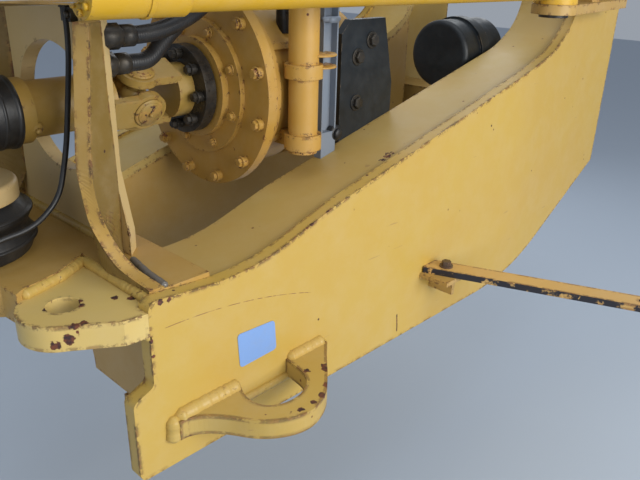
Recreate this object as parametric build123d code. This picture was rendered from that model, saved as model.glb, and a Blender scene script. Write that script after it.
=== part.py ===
from build123d import *
import math
import os

# Rear frame of an articulated wheel loader at its hinge, with the driveline and steering it carries.
# X points forward, Y to the machine's left, Z up. The origin is on the hinge axis, at the top face
# of the lower hinge plate. Distances called "back" run rearward from the front corner of the side plates.

# Driving dimensions, millimetres
CORNER_X = -158.0          # front top corner of the side plates, behind the hinge axis
HALF_WIDTH = 417.0         # centre plane to the outer face of a side plate
REAR_END = 1900.0          # back distance of the frame's rear end
SIDE_THICK = 30.0
# Corners of a side plate as back distance and height, from the front corner round its top and bottom
SIDE_TOP = (
    (-24.0, -22.0), (-22.0, 2.0), (200.0, -16.0), (420.0, 58.0),
    (1360.0, 296.0), (1470.0, 360.0), (1540.0, 560.0),
)
SIDE_TOP_RADII = (16.0, 500.0, 700.0, 300.0, 150.0)
SIDE_REAR_FOOT = -137.0
SIDE_BOTTOM = (
    (1350.0, -330.0), (1100.0, -364.0), (-66.0, -345.0), (-67.0, -178.0),
    (-24.0, -160.0), (-24.0, -22.0),
)
SIDE_BOTTOM_RADII = (900.0, 600.0, 16.0, 14.0, 14.0)
BEND_START = 1150.0        # where the side plates start to roll inward
BEND_RADIUS = 1500.0
BEND_ANGLE = 5.0
BEAM_INNER = 207.0         # centre plane to the inner face of the box beams
WEB_THICK = 20.0
TOP_LIP = (5.0, -7.0)      # how far the side plate stands proud of the top plate: back, height
TOP_DROP = (14.0, -18.0)   # the same measure across the top plate's thickness
FLOOR_RAISE = 20.0
FLOOR_THICK = 16.0
FRONT_WALL = 30.0          # thickness of the wings and of the front end plates
BEAM_FRONT = 30.0
BEAM_REAR = 1480.0

LOWER_PLATE = 60.0
UPPER_PLATE_BOTTOM = 470.0
UPPER_PLATE = 50.0
HINGE_BORE = 45.0
LOWER_NOSE = 150.0
UPPER_NOSE = 130.0
DECK_REAR = 125.0
UPPER_HALF_WIDTH = 185.0

BULKHEAD_BACK = 60.0
BULKHEAD_THICK = 30.0
BULKHEAD_FOOT = 235.0
BULKHEAD_HALF = 204.0
WING_TOP = 420.0
WING_SPLAY = 30.0
WING_ROOT = 206.0
SHAFT_HEIGHT = 246.0
OVAL = (150.0, 125.0)

EAR_CENTRE = (-49.0, 294.0)
EAR_RADIUS = 75.0
EAR_BORE = 27.75
EAR_TOP = -17.0
EAR_THICK = 45.0
BELLY_BOTTOM = -262.0
BELLY_SCALLOP = 150.0

LUG_TOP = -245.0
LUG_THICK = 40.0
LUG_HOLE = (130.0, 76.0)
LUG_HOLE_BACK = 225.0
LUG_HOLE_OUT = 45.0

BOOT_RADIUS = 135.0
BOOT_HEIGHT = 104.0
CAP_RADIUS = 115.0
CAP_HEIGHT = 33.0

RUNNING = 0.05             # radial clearance of a running pin or rod
SEAT = 0.3                 # gap between faces that move past each other

STEER_Z = 478.0
STEER_PIN_BACK = 1220.0
STEER_PIN_OUT = 30.0
STEER_PIN_R = 25.0
STEER_EYE_R = 55.0
STEER_GAP = 96.0
STEER_CHEEK = 25.0
CHEEK_LENGTH = 480.0       # the bracket behind its pin
CHEEK_MIDDLE = 260.0
CHEEK_OUT = 35.0           # the bracket outside the side plate's outer face, then its reach inside it
CHEEK_IN = (57.0, 39.0)
SPINE_BACK = (200.0, 250.0)
SPINE_OUT = 43.0
SPINE_IN = 32.0
STEER_YAW = 5.44
BARREL_R = 38.0
BARREL_BORE = 30.0
HEAD_R = 44.0
HEAD_START = 1100.0
HEAD_END = 1262.0
ROD_R = 22.0
ROD_INNER_END = 620.0
ROD_EYE_AT = 1562.0
ROD_EYE_R = 46.0
ROD_EYE_HEIGHT = 60.0

JOINT_BACK = 233.0         # centre of the universal joint
JOINT_TURN = -27.0
TUBE_R = 54.0
YOKE_R = 57.0
YOKE_EAR = 18.0
YOKE_INNER = 44.0
CAP_R = 33.0
TRUNNION_R = 20.0
FLANGE_BACK = 352.0
FLANGE_THICK = 28.0
FLANGE_R = 98.0
SPIGOT_R = 40.0
CASE_FRONT = 385.5
RING_BACK = 414.0
RING_THICK = 26.0
RING_R = 230.0
RING_BOLTS = 12
RING_BOLT_CIRCLE = 210.0
CASE_R = 195.0
CASE_REAR = 800.0
CASE_REAR_R = 172.0

MOUNT_BACK = (663.0, 860.0)
MOUNT_Z = (60.0, 395.0)
MOUNT_THICK = 20.0
COLUMN_BACK = 512.0
COLUMN_Y = 234.0
COLUMN_R = 33.0
GAUGE_BACK = 601.0
GAUGE_Y = 217.0
FILTER_BACK = (1240.0, 1460.0)
FILTER_Y = 87.0
FILTER_Z = 262.0
FILTER_R = 100.0
CROSS_BACK = (1560.0, 1700.0)
CROSS_Z = (-60.0, 90.0)

BRACE_TOP = -186.0
BRACE_BACK = 788.0
BRACE_DIRECTION = 67.7     # degrees from rearward, towards outboard
BRACE_WIDTH = 54.0
BRACE_THICK = 16.0
BRACE_LENGTH = 540.0
BRACE_BOLT_AT = 52.0

HOSE_R = 16.0
CABLE_R = 5.0
CLIP_DEPTH = 14.0
CLIP_Y = 112.0
CLIP_Z = 425.0

os.makedirs("parts", exist_ok=True)


def back(distance):
    return CORNER_X - distance


def save(name, shape):
    export_step(shape, f"parts/{name}.step")


def both_sides(name, shape):
    save(f"{name}_left", shape)
    save(f"{name}_right", mirror(shape, Plane.XZ))


def side_outline(shift_back=0.0, shift_up=0.0):
    """Side view of a side plate, moved by the given distances, as a face in the XZ plane."""
    def place(points):
        return [(back(b + shift_back), 0, h + shift_up) for b, h in points]

    upper = FilletPolyline(*place(SIDE_TOP), radius=list(SIDE_TOP_RADII))
    lower = FilletPolyline(*place(((REAR_END, SIDE_REAR_FOOT), *SIDE_BOTTOM)), radius=list(SIDE_BOTTOM_RADII))
    rear_top = (back(REAR_END + shift_back), 0, SIDE_TOP[-1][1] + shift_up)
    end = Polyline(upper @ 1, rear_top, lower @ 0)
    return make_face(upper.edges() + end.edges() + lower.edges())


def slab(face, y_low, y_high):
    """The side view face as a solid between two distances from the centre plane."""
    solid = extrude(face, amount=y_high - y_low, dir=(0, 1, 0))
    return Pos(0, y_low, 0) * solid


def bend_point(radius, angle):
    turn = math.radians(angle)
    return (back(BEND_START) - radius * math.sin(turn), HALF_WIDTH - BEND_RADIUS + radius * math.cos(turn))


def rolled_line(inset, front):
    """Plan view of the rolled plate's face at an inset from its outer face, from front to rear."""
    radius = BEND_RADIUS - inset
    start = (front, HALF_WIDTH - inset)
    bend = bend_point(radius, 0)
    middle = bend_point(radius, BEND_ANGLE / 2)
    finish = bend_point(radius, BEND_ANGLE)
    run = REAR_END + 60
    turn = math.radians(BEND_ANGLE)
    tail = (finish[0] - run * math.cos(turn), finish[1] - run * math.sin(turn))
    return [Line(start, bend), ThreePointArc(bend, middle, finish), Line(finish, tail)]


def plan_solid(edges):
    return Pos(0, 0, -450) * extrude(make_face(edges), amount=1100)


PLATE_FRONT = CORNER_X + 100
outer_line = rolled_line(0, PLATE_FRONT)
inner_line = rolled_line(SIDE_THICK, PLATE_FRONT)
plate_band = plan_solid(
    outer_line + inner_line
    + [Line(outer_line[0] @ 0, inner_line[0] @ 0), Line(outer_line[2] @ 1, inner_line[2] @ 1)]
)
tail_point = inner_line[2] @ 1
inside = plan_solid(
    inner_line
    + [Line(inner_line[0] @ 0, (PLATE_FRONT, 0)), Line((PLATE_FRONT, 0), (tail_point.X, 0)),
       Line((tail_point.X, 0), tail_point)]
)


def box_between(back_low, back_high, y_low, y_high, z_low, z_high):
    size = (back_high - back_low, y_high - y_low, z_high - z_low)
    centre = (back((back_low + back_high) / 2), (y_low + y_high) / 2, (z_low + z_high) / 2)
    return Pos(*centre) * Box(*size)


def axial(radius, back_low, back_high):
    """A cylinder on the shaft's axis between two back distances."""
    centre = Pos(back((back_low + back_high) / 2), 0, SHAFT_HEIGHT)
    return centre * Rot(0, 90, 0) * Cylinder(radius, back_high - back_low)


# Box beams: side plate, top plate, inner web and floor
outline = side_outline()
side_plate = slab(outline, 0, HALF_WIDTH + 1) & plate_band

lip_back, lip_up = TOP_LIP
drop_back = lip_back + TOP_DROP[0]
drop_up = lip_up + TOP_DROP[1]
top_skin = side_outline(lip_back, lip_up)
under_top = side_outline(drop_back, drop_up)
floor_low = side_outline(0, FLOOR_RAISE)
floor_high = side_outline(0, FLOOR_RAISE + FLOOR_THICK)
whole = HALF_WIDTH + 1

beam_zone = box_between(BEAM_FRONT, REAR_END, BEAM_INNER, whole, -450, 640)
top_plate = (slab(top_skin, 0, whole) - slab(under_top, 0, whole)) & beam_zone & inside
floor_zone = box_between(BEAM_FRONT, BEAM_REAR, BEAM_INNER, whole, -450, 640)
floor_plate = (slab(floor_low, 0, whole) - slab(floor_high, 0, whole)) & floor_zone & inside
web_zone = box_between(DECK_REAR, BEAM_REAR, BEAM_INNER, BEAM_INNER + WEB_THICK, -450, 640)
web = slab(under_top, 0, whole) & slab(floor_high, 0, whole) & web_zone

both_sides("side_plate", side_plate)
both_sides("beam_top", top_plate)
both_sides("beam_floor", floor_plate)
both_sides("beam_web", web)

# Lock ears at the front corners
ear_outline = Polyline(
    (CORNER_X, 160), (CORNER_X, HALF_WIDTH - SIDE_THICK), (CORNER_X + 24, HALF_WIDTH - SIDE_THICK),
    (CORNER_X + 24, HALF_WIDTH), (-92, 412), (-8, 356), (EAR_CENTRE[0], EAR_CENTRE[1]), (-12, 229), (-90, 203),
    close=True,
)
ear_prism = Pos(0, 0, EAR_TOP - EAR_THICK) * extrude(
    make_face(ear_outline.edges()) + Pos(*EAR_CENTRE) * Circle(EAR_RADIUS), amount=EAR_THICK
)
ear = ear_prism - Pos(EAR_CENTRE[0], EAR_CENTRE[1], EAR_TOP) * Cylinder(EAR_BORE, 3 * EAR_THICK)
both_sides("lock_ear", ear)

# Lower hinge plate: nose round the hinge bore, deck between the beams
half_deck = [
    (back(DECK_REAR), HALF_WIDTH - SIDE_THICK), (CORNER_X, HALF_WIDTH - SIDE_THICK), (CORNER_X, 300),
    (-1, 277), (8, 190), (105, 107),
]
other_half = [(x, -y) for x, y in reversed(half_deck)]
deck_face = make_face(Polyline(*half_deck, *other_half, close=True).edges()) + Circle(LOWER_NOSE)
lower_plate = Pos(0, 0, -LOWER_PLATE) * extrude(deck_face, amount=LOWER_PLATE)
lower_plate -= Cylinder(HINGE_BORE, 4 * LOWER_PLATE)
ear_space = Pos(0, 0, EAR_TOP - EAR_THICK) * extrude(
    make_face(ear_outline.edges()) + Pos(*EAR_CENTRE) * Circle(EAR_RADIUS), amount=2 * EAR_THICK
)
lower_plate = lower_plate - ear_space - mirror(ear_space, Plane.XZ)
# The box beam's top plate starts on the deck's own level, so the deck is cut to meet it.
for part in (top_plate, side_plate):
    lower_plate = lower_plate - part - mirror(part, Plane.XZ)
save("lower_hinge_plate", lower_plate)

# Belly plate across the front, under the hinge plate
belly = box_between(4, 4 + 25, -(HALF_WIDTH - SIDE_THICK), HALF_WIDTH - SIDE_THICK, BELLY_BOTTOM, -LOWER_PLATE)
belly -= Pos(back(16), 0, BELLY_BOTTOM) * Rot(0, 90, 0) * Cylinder(BELLY_SCALLOP, 60)
save("belly_plate", belly)

# Bulkhead with the oval shaft hole
bulk_half = [
    (BULKHEAD_FOOT, 0), (BULKHEAD_FOOT, 40), (BULKHEAD_HALF, 150), (BULKHEAD_HALF, WING_TOP),
    (UPPER_HALF_WIDTH, WING_TOP + 20), (UPPER_HALF_WIDTH, UPPER_PLATE_BOTTOM),
]
bulk_points = bulk_half + [(-y, z) for y, z in reversed(bulk_half)]
bulk_plane = Plane(origin=(back(BULKHEAD_BACK), 0, 0), x_dir=(0, 1, 0), z_dir=(1, 0, 0))
bulk_face = bulk_plane * make_face(Polyline(*bulk_points, close=True).edges())
oval_face = bulk_plane * (Pos(0, SHAFT_HEIGHT) * Ellipse(*OVAL))
bulkhead = extrude(bulk_face, amount=-BULKHEAD_THICK)
bulkhead -= extrude(oval_face, amount=BULKHEAD_THICK, both=True)
save("bulkhead", bulkhead)

# Wings: splayed uprights that sweep out at the foot to the side plates
splay = math.radians(WING_SPLAY)
wing_plane = Plane(
    origin=(back(BULKHEAD_BACK), WING_ROOT, 0),
    x_dir=(math.cos(splay), math.sin(splay), 0),
    z_dir=(math.sin(splay), -math.cos(splay), 0),
)
upright_edge = FilletPolyline((37, WING_TOP), (57, 296), (82, 180), (66, 100), (40, 0), radius=[300, 90, 100])
upright_rest = Polyline(upright_edge @ 1, (-40, 0), (-40, WING_TOP), upright_edge @ 0)
upright = extrude(wing_plane * make_face(upright_edge.edges() + upright_rest.edges()), amount=FRONT_WALL)
upright -= box_between(BULKHEAD_BACK, BULKHEAD_BACK + 200, 0, 600, -10, 600)
sweep_plane = Plane(origin=(back(0), 0, 0), x_dir=(0, 1, 0), z_dir=(1, 0, 0))
sweep_edge = FilletPolyline((196, 152), (226, 112), (300, 58), (HALF_WIDTH - SIDE_THICK, 12), radius=[70, 400])
sweep_rest = Polyline(sweep_edge @ 1, (HALF_WIDTH - SIDE_THICK, 0), (180, 0), (180, 152), sweep_edge @ 0)
sweep_face = sweep_plane * make_face(sweep_edge.edges() + sweep_rest.edges())
wing = upright + extrude(sweep_face, amount=-FRONT_WALL)
both_sides("wing", wing)

# Upper hinge plate with ribs down the back of the bulkhead
upper_face = make_face(Polyline(
    (back(BULKHEAD_BACK + 190), UPPER_HALF_WIDTH), (-60, UPPER_HALF_WIDTH), (60, 115),
    (60, -115), (-60, -UPPER_HALF_WIDTH), (back(BULKHEAD_BACK + 190), -UPPER_HALF_WIDTH), close=True,
).edges()) + Circle(UPPER_NOSE)
upper_plate = Pos(0, 0, UPPER_PLATE_BOTTOM) * extrude(upper_face, amount=UPPER_PLATE)
upper_plate -= Pos(0, 0, UPPER_PLATE_BOTTOM) * Cylinder(HINGE_BORE, 4 * UPPER_PLATE)
rib_back = BULKHEAD_BACK + BULKHEAD_THICK
rib_face = make_face(Polyline(
    (back(rib_back), 0, UPPER_PLATE_BOTTOM), (back(rib_back + 150), 0, UPPER_PLATE_BOTTOM),
    (back(rib_back), 0, UPPER_PLATE_BOTTOM - 70), close=True,
).edges())
save("upper_hinge_plate", upper_plate)
both_sides("upper_rib", slab(rib_face, 100, 120))

# Rubber boot and cap over the lower hinge bore
boot_profile = FilletPolyline(
    (60, 0, 0), (BOOT_RADIUS - 12, 0, 0), (BOOT_RADIUS, 0, 30), (BOOT_RADIUS - 14, 0, 54),
    (BOOT_RADIUS - 2, 0, 76), (CAP_RADIUS - 12, 0, BOOT_HEIGHT), (60, 0, BOOT_HEIGHT), radius=[8, 12, 8, 12, 6],
)
boot_close = Line(boot_profile @ 1, boot_profile @ 0)
hinge_boot = revolve(make_face(boot_profile.edges() + boot_close.edges()), axis=Axis.Z)
save("hinge_boot", hinge_boot)
cap = Pos(0, 0, BOOT_HEIGHT + CAP_HEIGHT / 2) * Cylinder(CAP_RADIUS, CAP_HEIGHT)
save("hinge_cap", fillet(cap.edges().sort_by(Axis.Z)[-1:], 9))

# Tie-down lugs on the outer faces, D-shaped with a rounded slot
lug_side = Line((back(10), HALF_WIDTH), (back(13), HALF_WIDTH + 29))
lug_slope = Line(lug_side @ 1, (back(75), HALF_WIDTH + 95))
lug_arc = ThreePointArc(lug_slope @ 1, (back(185), HALF_WIDTH + 142), (back(300), HALF_WIDTH + 100))
lug_tail = Polyline(lug_arc @ 1, (back(400), HALF_WIDTH + 8), (back(400), HALF_WIDTH), lug_side @ 0)
lug_face = make_face(lug_side.edges() + lug_slope.edges() + lug_arc.edges() + lug_tail.edges())
lug_slot = Pos(back(LUG_HOLE_BACK), HALF_WIDTH + LUG_HOLE_OUT) * RectangleRounded(*LUG_HOLE, LUG_HOLE[1] / 2 - 1)
lug = Pos(0, 0, LUG_TOP - LUG_THICK) * extrude(lug_face - lug_slot, amount=LUG_THICK)
both_sides("tie_down_lug", lug)

# Cross member behind the driveline
between = inside + mirror(inside, Plane.XZ)
cross = box_between(*CROSS_BACK, -HALF_WIDTH, HALF_WIDTH, *CROSS_Z)
cross -= box_between(CROSS_BACK[0] + 12, CROSS_BACK[1] - 12, -HALF_WIDTH, HALF_WIDTH, CROSS_Z[0] + 12, CROSS_Z[1] - 12)
save("rear_cross_member", cross & between)

# Transmission: hub, bolted ring and stepped case
hub = axial(112, CASE_FRONT, RING_BACK) + axial(152, RING_BACK - 12, RING_BACK)
for index in range(RING_BOLTS):
    turn = math.radians(15 + 360 / RING_BOLTS * index)
    at_y = RING_BOLT_CIRCLE * math.sin(turn)
    at_z = SHAFT_HEIGHT + RING_BOLT_CIRCLE * math.cos(turn)
    hub += Pos(back(RING_BACK - 6), at_y, at_z) * Rot(0, 90, 0) * Cylinder(12, 12)
ring = hub + axial(RING_R, RING_BACK, RING_BACK + RING_THICK)
spigot_hole = axial(SPIGOT_R + RUNNING, CASE_FRONT - 5, RING_BACK + RING_THICK - 5)
ring -= spigot_hole
save("output_ring", ring)

case_steps = [
    # radius, start, end
    (CASE_R + 14, RING_BACK + RING_THICK, 470),
    (CASE_R, 470, 560),
    (CASE_REAR_R + 8, 560, 590),
    (CASE_REAR_R, 590, CASE_REAR),
    (90, CASE_REAR, CASE_REAR + 40),
]
case = axial(*case_steps[0])
for step in case_steps[1:]:
    case += axial(*step)
for turn in range(0, 360, 60):
    arm = box_between(470, 740, -8, 8, CASE_REAR_R - 30, CASE_R + 8)
    arm = Pos(0, 0, SHAFT_HEIGHT) * Rot(turn, 0, 0) * arm
    case += arm
mount_y = BEAM_INNER - MOUNT_THICK
for z in (180, 312):
    case += box_between(MOUNT_BACK[0] + 40, MOUNT_BACK[1] - 70, -mount_y, mount_y, z - 28, z + 28)
save("transmission_case", case)

# Mount plates that carry the transmission on the beam webs
mount_face = make_face(Polyline(
    (back(MOUNT_BACK[0]), 0, MOUNT_Z[0]), (back(MOUNT_BACK[0]), 0, MOUNT_Z[1] - 30),
    (back(MOUNT_BACK[0] + 30), 0, MOUNT_Z[1]), (back(MOUNT_BACK[1] - 40), 0, MOUNT_Z[1]),
    (back(MOUNT_BACK[1]), 0, MOUNT_Z[1] - 160), (back(MOUNT_BACK[1]), 0, MOUNT_Z[0]), close=True,
).edges())
both_sides("mount_plate", slab(mount_face, mount_y, BEAM_INNER))

# Filler column with two collars clamped to the case
column = Pos(back(COLUMN_BACK), COLUMN_Y, 290) * Cylinder(COLUMN_R, 340)
for z, height in ((300, 30), (146, 34)):
    column += Pos(back(COLUMN_BACK), COLUMN_Y, z) * Cylinder(COLUMN_R + 9, height)
    column += box_between(COLUMN_BACK - 14, COLUMN_BACK + 14, 140, COLUMN_Y, z - height / 2, z + height / 2)
save("filler_column", column - case - ring)

# Sight gauge: an upright channel on the beam's top plate
channel = box_between(GAUGE_BACK - 24, GAUGE_BACK + 24, GAUGE_Y - 9, GAUGE_Y + 13, 40, 440)
channel -= box_between(GAUGE_BACK - 20, GAUGE_BACK + 20, GAUGE_Y - 5, GAUGE_Y + 20, 150, 450)
save("sight_gauge", channel - slab(top_skin, 0, whole))

# Black filter with its band, on a bracket from the left web
filter_mid = (FILTER_BACK[0] + FILTER_BACK[1]) / 2


def filter_drum(radius, start, end):
    place = Pos(back((start + end) / 2), FILTER_Y, FILTER_Z)
    return place * Rot(0, 90, 0) * Cylinder(radius, end - start)


drum = filter_drum(FILTER_R, *FILTER_BACK) + filter_drum(FILTER_R + 7, filter_mid - 30, filter_mid + 10)
save("filter_cylinder", fillet(drum.edges().sort_by(Axis.X)[:1] + drum.edges().sort_by(Axis.X)[-1:], 14))
saddle = box_between(filter_mid - 50, filter_mid + 50, FILTER_Y, BEAM_INNER, 130, 190)
save("filter_bracket", saddle - drum)

# Drive shaft with its universal joint, turned about its own axis as it stands
shaft_turn = Pos(0, 0, SHAFT_HEIGHT) * Rot(JOINT_TURN, 0, 0)


def yoke_ears(start, end):
    """Two fork ears across Y with round ends on the joint's centre, on the axis through the origin."""
    ears = None
    for side in (1, -1):
        low = YOKE_INNER if side > 0 else -YOKE_INNER - YOKE_EAR
        reach = box_between(min(start, end), max(start, end), low, low + YOKE_EAR, -34, 34)
        round_end = Pos(back(JOINT_BACK), low + YOKE_EAR / 2, 0) * Rot(90, 0, 0) * Cylinder(42, YOKE_EAR)
        ear_solid = reach + round_end
        ears = ear_solid if ears is None else ears + ear_solid
    bore = Pos(back(JOINT_BACK), 0, 0) * Rot(90, 0, 0) * Cylinder(CAP_R + RUNNING, 300)
    return ears - bore


def on_axis(radius, back_low, back_high):
    return Pos(back((back_low + back_high) / 2), 0, 0) * Rot(0, 90, 0) * Cylinder(radius, back_high - back_low)


shaft_yoke = yoke_ears(150, JOINT_BACK) + on_axis(YOKE_R + 2, 118, 165)
shaft_yoke += on_axis(TUBE_R, -5, 118) + on_axis(TUBE_R + 8, -32, -5)
save("shaft_tube_yoke", shaft_turn * shaft_yoke)
flange_yoke = Rot(90, 0, 0) * yoke_ears(JOINT_BACK, 320)
flange_yoke += on_axis(YOKE_R + 2, 312, FLANGE_BACK)
save("flange_yoke", shaft_turn * flange_yoke)
reach = YOKE_INNER + YOKE_EAR + 1
cross_solid = Pos(back(JOINT_BACK), 0, 0) * Sphere(29)
for turn in (0, 90):
    arm = Rot(90, 0, 0) * Cylinder(TRUNNION_R, 2 * reach)
    for side in (1, -1):
        arm += Pos(0, side * (reach - YOKE_EAR / 2), 0) * Rot(90, 0, 0) * Cylinder(CAP_R, YOKE_EAR)
    cross_solid += Pos(back(JOINT_BACK), 0, 0) * Rot(turn, 0, 0) * arm
save("joint_cross", shaft_turn * cross_solid)
flange = on_axis(FLANGE_R, FLANGE_BACK, FLANGE_BACK + FLANGE_THICK)
for index in range(8):
    flange += Rot(45 * index + 22.5, 0, 0) * Pos(back(FLANGE_BACK - 6), 0, 78) * Rot(0, 90, 0) * Cylinder(11, 12)
flange += on_axis(SPIGOT_R, FLANGE_BACK + FLANGE_THICK, RING_BACK + 10)
save("output_flange", shaft_turn * flange)
shaft_boot = on_axis(66, -190, -32) + on_axis(30, -250, -190)
save("shaft_sleeve", shaft_turn * shaft_boot)

# Steering cylinders, one each side, on brackets welded to the side plates
pin_x = back(STEER_PIN_BACK)
pin_y = HALF_WIDTH + STEER_PIN_OUT
cheek_end = pin_x - CHEEK_LENGTH
cheek_outline = Polyline(
    (pin_x + 10, pin_y + STEER_EYE_R), (cheek_end, HALF_WIDTH + CHEEK_OUT), (cheek_end, HALF_WIDTH - CHEEK_IN[0]),
    (pin_x - CHEEK_MIDDLE, HALF_WIDTH - CHEEK_IN[1]), (pin_x + 10, pin_y - STEER_EYE_R), close=True,
)
cheek_face = make_face(cheek_outline.edges()) + Pos(pin_x, pin_y) * Circle(STEER_EYE_R + 3)
cheek_face -= Pos(pin_x, pin_y) * Circle(STEER_PIN_R + RUNNING)
lower_cheek = Pos(0, 0, STEER_Z - STEER_GAP / 2 - STEER_CHEEK) * extrude(cheek_face, amount=STEER_CHEEK)
upper_cheek = Pos(0, 0, STEER_Z + STEER_GAP / 2) * extrude(cheek_face, amount=STEER_CHEEK)
spine = box_between(
    STEER_PIN_BACK + SPINE_BACK[0], STEER_PIN_BACK + SPINE_BACK[1], HALF_WIDTH - SPINE_IN, HALF_WIDTH + SPINE_OUT,
    STEER_Z - STEER_GAP / 2, STEER_Z + STEER_GAP / 2,
)
both_sides("steer_bracket", lower_cheek + upper_cheek + spine - side_plate)
pin_length = STEER_GAP + 2 * STEER_CHEEK + 16
steer_pin = Pos(pin_x, pin_y, STEER_Z) * Cylinder(STEER_PIN_R, pin_length)
for side in (1, -1):
    steer_pin += Pos(pin_x, pin_y, STEER_Z + side * (pin_length / 2 - 4)) * Cylinder(STEER_PIN_R + 12, 8)
both_sides("steer_pin", steer_pin)

steer_place = Pos(pin_x, pin_y, STEER_Z) * Rot(0, 0, -STEER_YAW)


def along(radius, start, end):
    """A cylinder along the steering cylinder's own axis, measured from its base pin."""
    return Pos((start + end) / 2, 0, 0) * Rot(0, 90, 0) * Cylinder(radius, end - start)


barrel = Cylinder(STEER_EYE_R, STEER_GAP - 2 * SEAT) + along(BARREL_R, 30, HEAD_START) + along(HEAD_R, HEAD_START, HEAD_END)
barrel += Pos((HEAD_START + 66), 0, 0) * Rot(0, 90, 0) * Cylinder(HEAD_R + 2, 8)
barrel -= along(BARREL_BORE, 80, HEAD_START) + along(ROD_R + RUNNING, HEAD_START - 1, HEAD_END + 1)
barrel -= Cylinder(STEER_PIN_R + RUNNING, 2 * STEER_GAP)
both_sides("steer_barrel", steer_place * barrel)
rod = along(ROD_R, ROD_INNER_END, ROD_EYE_AT - 20) + along(BARREL_BORE - SEAT, ROD_INNER_END - 50, ROD_INNER_END)
rod += Pos(ROD_EYE_AT, 0, 0) * Cylinder(ROD_EYE_R, ROD_EYE_HEIGHT)
rod -= Pos(ROD_EYE_AT, 0, 0) * Cylinder(STEER_PIN_R, 2 * ROD_EYE_HEIGHT)
both_sides("steer_rod", steer_place * rod)

# Brace bar on the left side, bolted to a small bracket under it
brace_turn = 180 - BRACE_DIRECTION
brace_start = (back(BRACE_BACK), HALF_WIDTH - 6)
brace_place = Pos(brace_start[0], brace_start[1], BRACE_TOP - BRACE_THICK) * Rot(0, 0, brace_turn)
brace_face = Pos(BRACE_LENGTH / 2, 0) * Rectangle(BRACE_LENGTH, BRACE_WIDTH)
brace_bolt_hole = Pos(BRACE_BOLT_AT, 0) * Circle(9)
brace_far_hole = Pos(BRACE_LENGTH - 30, 0) * Circle(9)
brace = brace_place * extrude(brace_face - brace_bolt_hole - brace_far_hole, amount=BRACE_THICK)
outside = box_between(600, 1300, HALF_WIDTH, HALF_WIDTH + 700, -400, 0)
save("brace_bar", brace & outside)
bolt_spot = brace_place * Pos(BRACE_BOLT_AT, 0, 0)
bracket = box_between(755, 848, HALF_WIDTH, HALF_WIDTH + 82, BRACE_TOP - BRACE_THICK - 12, BRACE_TOP - BRACE_THICK)
bracket += box_between(800, 812, HALF_WIDTH, HALF_WIDTH + 70, BRACE_TOP - BRACE_THICK - 52, BRACE_TOP - BRACE_THICK - 12)
bracket -= bolt_spot * Cylinder(9, 60)
save("brace_bracket", bracket)
bolt = bolt_spot * Cylinder(8.9, 50) + bolt_spot * (Pos(0, 0, BRACE_THICK + 2) * Cylinder(17, 4))
bolt += bolt_spot * Pos(0, 0, BRACE_THICK + 3) * extrude(RegularPolygon(12, 6), amount=12)
save("brace_bolt", bolt)


def route_radii(points):
    """The largest arcs that the runs of a route leave room for, one for each corner."""
    radii = []
    vectors = [Vector(*p) for p in points]
    for before, corner, after in zip(vectors, vectors[1:], vectors[2:]):
        first = corner - before
        second = after - corner
        turn = math.radians(first.get_angle(second))
        radii.append(0.45 * min(first.length, second.length) / math.tan(turn / 2))
    return radii


def tube(name, points, radius):
    radii = route_radii(points)
    path = FilletPolyline(*points, radius=radii)
    start = Plane(origin=path @ 0, z_dir=path % 0)
    line = sweep(start * Circle(radius), path=path)
    print(name, "length", round(path.length), "radii", [round(r) for r in radii])
    print(name, "volume ratio", round(line.volume / (math.pi * radius ** 2 * path.length), 4))
    save(name, line)


# Hoses from the case to the bulkhead, held at both ends
bulk_rear = back(BULKHEAD_BACK + BULKHEAD_THICK)
port_z = SHAFT_HEIGHT + CASE_R + 8
hose_routes = [
    # name, y at the bulkhead, height at the bulkhead, y at the port, back distance of the port
    ("hose_lower", 146, 342, 76, 480),
    ("hose_upper", 172, 394, 142, 545),
]
for name, y_end, z_end, y_port, port_back in hose_routes:
    tube(name, [
        (back(port_back), y_port, port_z), (back(port_back), y_port, port_z + 62),
        (back(port_back - 40), y_port + 4, port_z + 108), (back(port_back - 110), y_port + 14, port_z + 82),
        (back(port_back - 180), y_end - 18, z_end + 84), (back(port_back - 260), y_end - 8, z_end + 26),
        (back(BULKHEAD_BACK + BULKHEAD_THICK + 95), y_end, z_end - 4), (bulk_rear, y_end, z_end - 4),
    ], HOSE_R)
ports = None
for name, y_end, z_end, y_port, port_back in hose_routes:
    port = Pos(back(port_back), y_port, port_z - 40) * Cylinder(HOSE_R + 5, 80)
    ports = port if ports is None else ports + port
save("hose_ports", ports - case)

# Cable clipped to the bulkhead, round the wing and on to the hinge plate
clip_x = back(BULKHEAD_BACK) + CLIP_DEPTH
tube("sensor_cable", [
    (clip_x, CLIP_Y, UPPER_PLATE_BOTTOM), (clip_x, CLIP_Y, 370), (clip_x + 22, 130, 285), (clip_x + 46, 150, 200),
    (clip_x + 76, 162, 118), (clip_x + 128, 160, 74), (clip_x + 196, 158, 66), (clip_x + 250, 142, 40),
    (clip_x + 250, 142, 0),
], CABLE_R)
clip = Pos((clip_x + back(BULKHEAD_BACK)) / 2, CLIP_Y, CLIP_Z) * Box(CLIP_DEPTH, 34, 24)
clip -= Pos(clip_x, CLIP_Y, CLIP_Z) * Cylinder(CABLE_R + SEAT, 60)
save("cable_clamp", clip)
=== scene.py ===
import math
import random

import bmesh
import bpy
from mathutils import Matrix, Vector


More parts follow.
